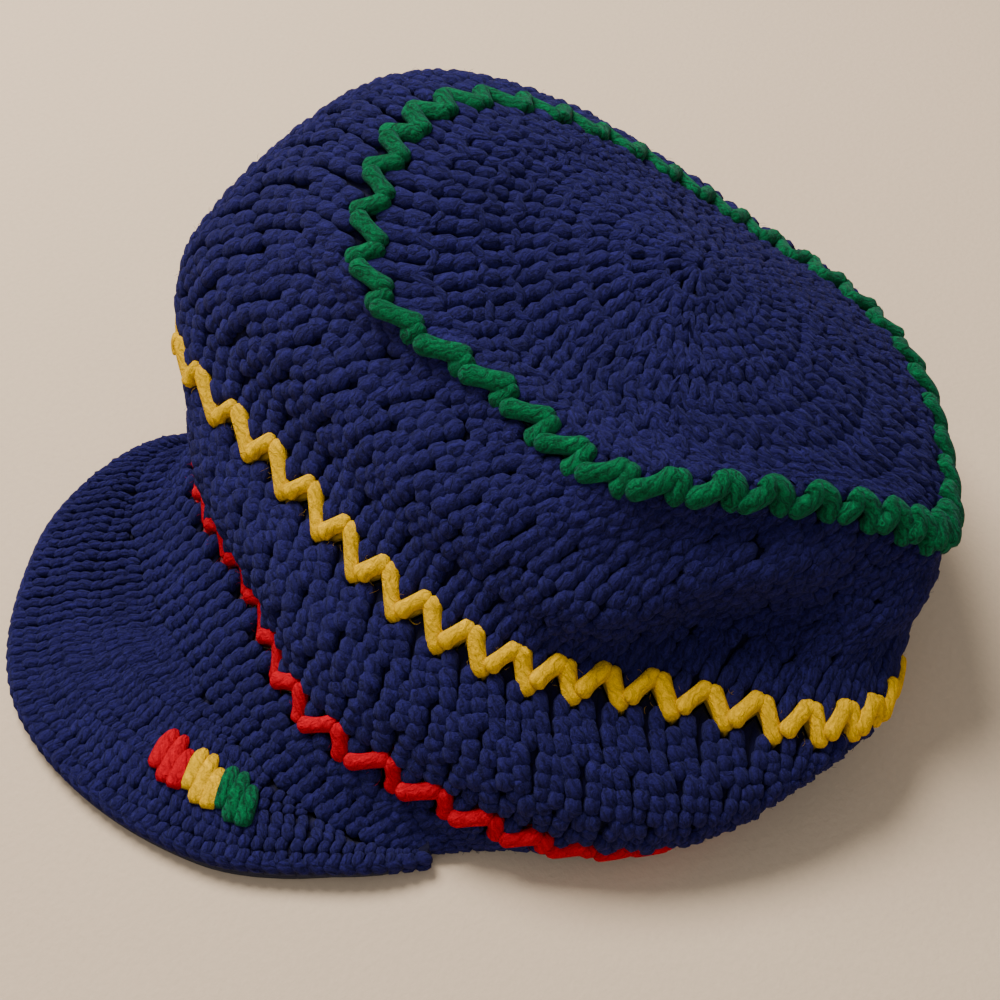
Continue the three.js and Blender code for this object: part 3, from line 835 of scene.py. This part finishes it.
class TamStage(bpy.types.PropertyGroup):
    """Floor, light and camera."""

    floor: FloatVectorProperty(
        name="Floor", description="Colour of the floor", subtype="COLOR", size=3, min=0, max=1,
        default=(0.68, 0.53, 0.385),
    )
    key: FloatProperty(
        name="Key light", description="Power of the soft light", subtype="POWER", default=40.0, min=0
    )
    sky: FloatProperty(name="Room light", description="Strength of the room", default=0.36, min=0)
    lens: FloatProperty(
        name="Lens", description="Focal length on a 36 mm sensor", subtype="DISTANCE_CAMERA",
        default=51.84,
    )


# Operators


class TAM_OT_crown(bpy.types.Operator):
    """Work the crown in rounds from its centre."""

    bl_idname = "tam.crown"
    bl_label = "Crown"

    def execute(self, context):
        rows = context.scene.tam_rows
        post = context.scene.tam_post
        strand = wrap_strand()
        fabric = Fabric()
        edge = lambda around: round_edge("green", -1, around, SEAM_GAP)
        wall_shell(fabric, lambda around: np.zeros(around.shape), edge, 40, 96, GROUND_INSET, rows.crown)
        for ring in range(rows.crown):
            count = rows.crown_growth * (ring + 1)
            around = np.arange(count) * 360 / count + 37 * ring
            spacing = 360 / count
            last = ring == rows.crown - 1

            def place(share, around):
                return np.clip(even(edge, around) * share, 0.1, edge(around))

            low = max(ring, 0.1) / rows.crown
            high = (ring + 1) / rows.crown
            start = around + uneven(count, 300 + ring, spacing * 0.08)
            end = around + spacing * 0.3 + uneven(count, 330 + ring, spacing * 0.08)
            first = place(np.full(count, low) + uneven(count, 360 + ring, 0.006), start)
            finish = edge(end) if last else place(np.full(count, high), end)
            middle = (first + finish) / 2
            wide = half_width(cap_face, middle, start, spacing, 1.5 * MM, 3.6 * MM)
            lay_posts(
                fabric, strand, cap_face, (start, first), (end, finish), wide,
                post.thickness / 2 * 0.9, post.sink + 0.3 * MM, 500 + ring * 60, 2,
                spacing * 0.3 * (-1) ** ring,
            )
            if last:
                continue
            # The loops along the top of the round
            turn = around[:, None] + spacing * (0.62 * (2 * strand.levels[None] - 1) + 0.15)
            share = high + (0.022 * np.sin(math.pi * strand.levels[None]) - 0.008) * (-1) ** ring
            height = -0.2 * MM + uneven((count, 1), 390 + ring, 0.3 * MM)
            strand.lay(
                fabric, cap_face, edge(turn) * share, turn, height, 1.9 * MM, 1.9 * MM, seed=395 + ring
            )
        fuzz(fabric, thin_strand(), cap_face, (0.5, 7.8), (0, 360), 1200, 11)
        fabric.make("crown_stitches", "navy", "crown_top")
        return {"FINISHED"}


class TAM_OT_walls(bpy.types.Operator):
    """Work the two walls in rows of fans, three posts from each hole."""

    bl_idname = "tam.walls"
    bl_label = "Walls"

    def execute(self, context):
        rows = context.scene.tam_rows
        post = context.scene.tam_post
        walls = (
            ("upper_wall_stitches", "side_upper", "green", "yellow", rows.upper, 21, 1000),
            ("lower_wall_stitches", "side_lower", "yellow", "red", rows.lower, 23, 600),
        )
        for name, node, above, below, count, seed, fibres in walls:
            fabric = Fabric()
            start = lambda around, ring=above: round_edge(ring, 1, around, SEAM_GAP)
            end = lambda around, ring=below: round_edge(ring, -1, around, SEAM_GAP)
            wall_shell(fabric, start, end, 5 * count, 3 * TEETH, GROUND_INSET, count)
            fanned_rows(fabric, wrap_strand(), (start, end), count, post, seed)
            span = (RING_PLANS[above][0] + 0.5, RING_PLANS[below][0] - 0.5)
            fuzz(fabric, thin_strand(), cap_face, span, (0, 360), fibres, seed + 1)
            fabric.make(name, "navy", node)
        return {"FINISHED"}


class TAM_OT_headband(bpy.types.Operator):
    """Work the headband from the red round to the rim."""

    bl_idname = "tam.headband"
    bl_label = "Headband"

    def execute(self, context):
        rows = context.scene.tam_rows
        post = context.scene.tam_post
        fabric = Fabric()
        start = lambda around: round_edge("red", 1, around, SEAM_GAP)
        end = lambda around: np.full(np.shape(around), float(RIM) - 0.02)
        wall_shell(fabric, start, end, 12, 3 * TEETH, GROUND_INSET, rows.band)
        strand = wrap_strand()
        count = 3 * TEETH
        spacing = 360 / count
        for row in range(rows.band):
            around = FIRST_TIP + spacing * (np.arange(count) + 0.25 + 0.5 * row)
            end_around = around + 0.6
            edges = (start, end)
            first = start(around) if row == 0 else row_place(edges, row / rows.band, around)
            finish = row_place(edges, (row + 1) / rows.band, end_around)
            wide = half_width(cap_face, (first + finish) / 2, around, spacing, 1.8 * MM, 3.4 * MM)
            lay_posts(
                fabric, strand, cap_face, (around, first), (end_around, finish), wide,
                post.thickness / 2, post.sink, 700 + row * 60,
            )
        fuzz(fabric, thin_strand(), cap_face, (18.2, 20.2), (-90, 60), 350, 27)
        fabric.make("headband_stitches", "navy", "headband")
        return {"FINISHED"}


class TAM_OT_coloured_rounds(bpy.types.Operator):
    """Lay the three coloured zigzag cords."""

    bl_idname = "tam.coloured_rounds"
    bl_label = "Coloured rounds"

    def execute(self, context):
        for ring, seed in (("green", 31), ("yellow", 33), ("red", 35)):
            fabric = Fabric()
            wall_shell(
                fabric,
                lambda around: round_edge(ring, -1, around, -0.6 * MM),
                lambda around: round_edge(ring, 1, around, -0.6 * MM),
                4, 3 * TEETH, GROUND_DEPTH[ring], 1,
            )
            self.lay_teeth(fabric, ring, seed)
            middle = RING_PLANS[ring][0]
            fuzz(fabric, thin_strand(), cap_face, (middle - 0.3, middle + 0.3), (0, 360), 420, seed)
            fabric.make(f"{ring}_zigzag", ring, f"{ring}_round")
        return {"FINISHED"}

    @staticmethod
    def lay_teeth(fabric, ring, seed):
        """Each tooth has a long strand down from its tip and a short one up from a knob below it."""
        strand = Strand("tooth_strand", 10, 12, (0.55, 0.88))
        t = strand.levels[None]
        bend = np.sin(math.pi * t)
        wave = np.cos(2 * math.pi * t)
        tip = FIRST_TIP + PITCH * np.arange(TEETH)[:, None] + uneven((TEETH, 1), seed, 0.35)
        bulk = CORD_BULK[ring]
        rise = 6.6 * MM * bulk + uneven((TEETH, 1), seed + 1, 0.6 * MM)
        shown = visible_share(ring, tip)
        tall = 0.45 + 0.55 * shown
        rise = rise * tall
        sunk = (1 - shown) * 2.6 * MM

        def lay(around, distance, height, size, half_wide, draw):
            size = (size + uneven((TEETH, 1), draw, 0.06)) * bulk * MM
            place = place_along(RING_PLANS[ring][0], around, distance)
            strand.lay(
                fabric, cap_face, place, around, height * MM - sunk, half_wide * size, 2.8 * size,
                seed=draw + 1,
            )

        # From the tip to the foot of the next tooth
        around = tip + 4.9 * t + 0.25 * bend
        lay(around, -rise + 2 * rise * t, 0.5 + 0.8 * bend - 0.8 * t, 1 + 0.06 * wave, 3.15, seed + 2)
        # From a knob beside that foot up to the next tip
        around = tip - 3.7 * (1 - t) - 0.2 * bend
        distance = 4.3 * MM * (1 - t) * tall - rise * t
        lay(around, distance, 1.5 + 0.7 * bend - 1.1 * t, 1.02 + 0.1 * wave, 3.05, seed + 4)


# How thick each coloured round looks beside the yellow one, and how deep the fabric behind it lies
CORD_BULK = {"green": 1.12, "yellow": 1.0, "red": 0.96}
GROUND_DEPTH = {"green": 1.8 * MM, "yellow": 1.8 * MM, "red": 3.6 * MM}

# How much of the red round shows in its crease, by degrees round the cap
RED_SHOWN = {-100: 0, -34: 0, -14: 0.15, 2: 0.75, 12: 1, 36: 0.95, 60: 0.6, 90: 0.5, 140: 0.6}


def visible_share(ring, around):
    if ring != "red":
        return np.ones(np.shape(around))
    turned = (around + 180) % 360 - 180
    return np.interp(turned, list(RED_SHOWN), list(RED_SHOWN.values()))


# The peak's edging, the height of its rows, how many rows fit and the spacing of the edging's loops
EDGING = 4 * MM
PEAK_ROW = 9.4 * MM
PEAK_ROWS = 9
EDGE_LOOPS = 62

# The colour blocks: half the width and half the thickness of a strand, the way between strands, how far
# the block is turned and moved, and where each strand begins and ends
BLOCK_YARN = (3.4 * MM, 2.3 * MM)
BLOCK_SPACING = 4.8 * MM
BLOCK_TURN = 0.52
BLOCK_DEGREES = 3.0
BLOCK_INWARDS = 1.6 * MM
BLOCK_STRANDS = ((-1, -6.8, 5.6), (0.1, -8.4, 6.2), (1.15, -7.2, 4.6))


def square_to_edge(around, inset):
    """How many degrees a line square to the peak's outer edge drifts over an inset from the edge."""
    around = np.asarray(around, float)
    reach = peak_reach(around)
    flat = [1, 1, 0]

    def between(behind, ahead):
        return peak_point(*ahead)[0] - peak_point(*behind)[0]

    before, after = around - 0.5, around + 0.5
    sweep = between((before, reach), (after, reach))
    out = unit(between((around, reach - MM), (around, reach)) * flat)
    turn = unit(sweep * flat)
    tangent = unit(between((before, peak_reach(before)), (after, peak_reach(after))) * flat)
    normal = unit(out - tangent * (out * tangent).sum(-1, keepdims=True))
    slope = (normal * out).sum(-1) * (normal * turn).sum(-1)
    return np.clip(-slope * inset / np.linalg.norm(sweep, axis=-1), -7, 7)


class TAM_OT_peak(bpy.types.Operator):
    """Work the peak in rows that follow its outer edge."""

    bl_idname = "tam.peak"
    bl_label = "Peak"

    def execute(self, context):
        rows = context.scene.tam_rows
        post = context.scene.tam_post
        fabric = Fabric()
        around = np.linspace(*PEAK_ENDS, 110)
        reach = peak_reach(around)
        out = np.linspace(0, 1, 22)[:, None] * (reach - EDGING * 0.8)[None]
        top, under = peak_point(np.broadcast_to(around, out.shape), out)
        normal = peak_face(out, np.broadcast_to(around, out.shape))[1]
        add_shell(fabric, top - normal * 1.6 * MM, under, False, 1, rows.peak, 4)
        strand = wrap_strand()
        columns = np.linspace(PEAK_ENDS[0] + 1, PEAK_ENDS[1] - 1, rows.peak)
        for row in range(PEAK_ROWS):
            near = EDGING * 1.15 + PEAK_ROW * row
            column = columns + uneven(columns.shape, 800 + row, 0.14) + 0.4 * (row % 2)
            near_at = column + square_to_edge(column, near)
            far_at = column + square_to_edge(column, near + PEAK_ROW)
            end = peak_reach(near_at) - near
            begin = np.maximum(peak_reach(far_at) - near - PEAK_ROW, 0.3 * MM)
            low, high = PEAK_ENDS
            keep = (end - begin > 2.5 * MM) & (near_at > low + 0.5) & (near_at < high - 0.5)
            if not keep.any():
                continue
            near_at, far_at, begin, end = (v[keep] for v in (near_at, far_at, begin, end))
            wide = half_width(
                peak_face, (begin + end) / 2, near_at, columns[1] - columns[0], 1.3 * MM, 2.6 * MM
            )
            lay_posts(
                fabric, strand, peak_face, (near_at, end), (far_at, begin), wide,
                post.thickness / 2 * 0.6, 0.9 * MM, 840 + row * 60, 2, 0.9 * (-1) ** row,
            )
        fuzz(fabric, thin_strand(), peak_face, (2 * MM, 20 * MM), (-60, 25), 400, 41)
        fabric.make("peak_stitches", "navy", "peak")
        return {"FINISHED"}


class TAM_OT_peak_edging(bpy.types.Operator):
    """Finish the peak's outer edge with a row of slanting loops."""

    bl_idname = "tam.peak_edging"
    bl_label = "Peak edging"

    def execute(self, context):
        fabric = Fabric()
        around = np.linspace(*PEAK_ENDS, 130)
        reach = peak_reach(around)
        out = reach[None] - EDGING * np.array([1.1, 0.95, 0.8])[:, None]
        spread = np.broadcast_to(around, out.shape)
        top, under = peak_point(spread, out)
        top[..., 2] -= 1.4 * MM
        top[-1, :, 2] = np.minimum(top[-1, :, 2], 3.6 * MM)
        under[-1, :, 2] += 0.8 * MM
        add_shell(fabric, top, under, False, 1, 60, 1)
        strand = wrap_strand()
        edge = cap_run_along(around, reach - 2.1 * MM, EDGE_LOOPS)
        t = strand.levels[None]
        half = (edge[1] - edge[0]) * 0.66
        centre = edge[:, None]
        angle = centre + half * (2 * t - 1)
        inset = 6.0 * MM - 2.4 * MM * t
        out = peak_reach(angle) - inset
        height = -1.5 * MM - 1.6 * MM * t**2 + 0.7 * MM * np.sin(math.pi * t)
        strand.lay(fabric, peak_face, out, angle, height, 2.4 * MM, 2.1 * MM, seed=51)
        # A second row under the first closes the edge
        out = peak_reach(angle) - 4.3 * MM
        strand.lay(fabric, peak_face, out, angle, -4.1 * MM, 2.2 * MM, 2.0 * MM, seed=52)
        fabric.make("peak_edging_stitches", "navy", "peak_edging")
        return {"FINISHED"}


def cap_run_along(around, out, count):
    """Angles that lie evenly along the peak's outer edge."""
    edge = peak_point(around, out)[0]
    way = np.concatenate([[0], np.cumsum(np.linalg.norm(np.diff(edge, axis=0), axis=1))])
    return np.interp((np.arange(count) + 0.5) / count * way[-1], way, around)


class TAM_OT_peak_blocks(bpy.types.Operator):
    """Work the three colour blocks into the peak's top."""

    bl_idname = "tam.peak_blocks"
    bl_label = "Colour blocks"

    def execute(self, context):
        strand = Strand("block_strand", 10, 10, (0.6, 0.95))
        t = strand.levels[None]
        for seed, (colour, (at, share)) in enumerate(BLOCKS.items()):
            fabric = Fabric()
            reach = peak_reach(np.array(at))
            per_degree = np.linalg.norm(
                peak_point(np.array(at + 1.0), share * reach)[0]
                - peak_point(np.array(at - 1.0), share * reach)[0]
            ) / 2
            for side, begin, end in BLOCK_STRANDS:
                ahead = (begin + (end - begin) * t) * MM
                angle = at + BLOCK_DEGREES + (side * BLOCK_SPACING + BLOCK_TURN * ahead) / per_degree
                out = share * reach - BLOCK_INWARDS + ahead
                height = 1.2 * MM + 0.8 * MM * np.sin(math.pi * t)
                taper = 0.6 + 0.4 * np.clip(t * 2.6, 0, 1)
                strand.lay(
                    fabric, peak_face, out, angle, height, BLOCK_YARN[0] * taper, BLOCK_YARN[1] * taper,
                    seed=61 + seed,
                )
            fabric.make(f"peak_{colour}_stitches", colour, f"peak_block_{colour}")
        return {"FINISHED"}


class TAM_OT_stage(bpy.types.Operator):
    """Set the floor, the soft light and the camera."""

    bl_idname = "tam.stage"
    bl_label = "Stage"

    def execute(self, context):
        settings = context.scene.tam_stage
        deselect()
        bpy.ops.mesh.primitive_plane_add(size=8, location=(0, 0, 0))
        floor = context.object
        floor.name = "floor"
        material = bpy.data.materials.new("floor_cloth")
        g = Graph(material)
        place = g.node("ShaderNodeTexCoord").outputs["Object"]
        nap = g.noise(place, 420.0, 3.0, 0.6)
        cloud = g.noise(place, 5.0, 2.0)
        colour = g.blend(nap, shade(settings.floor, 0.93), shade(settings.floor, 1.06))
        colour = g.blend(g.range(cloud, 0.3, 0.7, 0, 0.3), colour, shade(settings.floor, 0.92))
        g.finish(
            {
                "Base Color": colour,
                "Roughness": 0.95,
                "Specular IOR Level": 0.1,
                "Normal": g.bump(0.25, MM, nap),
            }
        )
        floor.data.materials.append(material)
        self.light("key", (-0.85, -0.05, 1.25), 0.8, settings.key, (1.0, 0.95, 0.88))
        self.light("fill", (1.1, -0.9, 1.2), 1.6, settings.key * 0.12, (0.92, 0.95, 1.0))
        world = bpy.data.worlds.new("room")
        world.use_nodes = True
        room = world.node_tree.nodes["Background"]
        room.inputs["Color"].default_value = (1.0, 0.98, 0.95, 1)
        room.inputs["Strength"].default_value = settings.sky
        context.scene.world = world
        self.camera(context, settings)
        return {"FINISHED"}

    @staticmethod
    def light(name, place, size, power, colour):
        lamp = bpy.data.lights.new(name, "AREA")
        lamp.shape = "DISK"
        lamp.size = size
        lamp.energy = power
        lamp.color = colour
        holder = bpy.data.objects.new(name, lamp)
        holder.location = place
        aim = Vector((0, 0, 0.04)) - Vector(place)
        holder.rotation_euler = aim.to_track_quat("-Z", "Y").to_euler()
        bpy.context.scene.collection.objects.link(holder)

    @staticmethod
    def camera(context, settings):
        """The photograph was taken from the wearer's left front, well above the cap."""
        around = math.radians(57.5)
        above = math.radians(52)
        back = Vector(
            (math.sin(around) * math.cos(above), -math.cos(around) * math.cos(above), math.sin(above))
        )
        target = Vector(HEAD_MIDDLE) + Vector((0, 0, 0.055))
        camera = bpy.data.cameras.new("camera")
        camera.sensor_width = 36
        camera.lens = settings.lens
        camera.clip_start = 0.01
        holder = bpy.data.objects.new("camera", camera)
        holder.location = target + back * 0.48
        holder.rotation_euler = (-back).to_track_quat("-Z", "Y").to_euler()
        context.scene.collection.objects.link(holder)
        context.scene.camera = holder


class TAM_PT_sidebar(bpy.types.Panel):
    """The cap's settings and steps."""

    bl_idname = "TAM_PT_sidebar"
    bl_label = "Rasta tam"
    bl_space_type = "VIEW_3D"
    bl_region_type = "UI"
    bl_category = "Tam"

    def draw(self, context):
        layout = self.layout
        for group in (
            context.scene.tam_yarn, context.scene.tam_post, context.scene.tam_rows,
            context.scene.tam_stage,
        ):
            box = layout.box()
            for name in group.__annotations__:
                box.prop(group, name)
        for step in STEPS:
            layout.operator(step.bl_idname)


STEPS = (
    TAM_OT_stage,
    TAM_OT_crown,
    TAM_OT_walls,
    TAM_OT_headband,
    TAM_OT_coloured_rounds,
    TAM_OT_peak,
    TAM_OT_peak_edging,
    TAM_OT_peak_blocks,
)
GROUPS = {"tam_yarn": TamYarn, "tam_post": TamPost, "tam_rows": TamRows, "tam_stage": TamStage}


def register():
    for group in (*GROUPS.values(), *STEPS, TAM_PT_sidebar):
        bpy.utils.register_class(group)
    for name, group in GROUPS.items():
        setattr(bpy.types.Scene, name, PointerProperty(type=group))


def unregister():
    for name in GROUPS:
        delattr(bpy.types.Scene, name)
    for group in reversed((*GROUPS.values(), *STEPS, TAM_PT_sidebar)):
        bpy.utils.unregister_class(group)


def main():
    register()
    bpy.ops.tam.stage()
    bpy.ops.tam.crown()
    bpy.ops.tam.walls()
    bpy.ops.tam.headband()
    bpy.ops.tam.coloured_rounds()
    bpy.ops.tam.peak()
    bpy.ops.tam.peak_edging()
    bpy.ops.tam.peak_blocks()
    deselect()


if __name__ == "__main__":
    main()
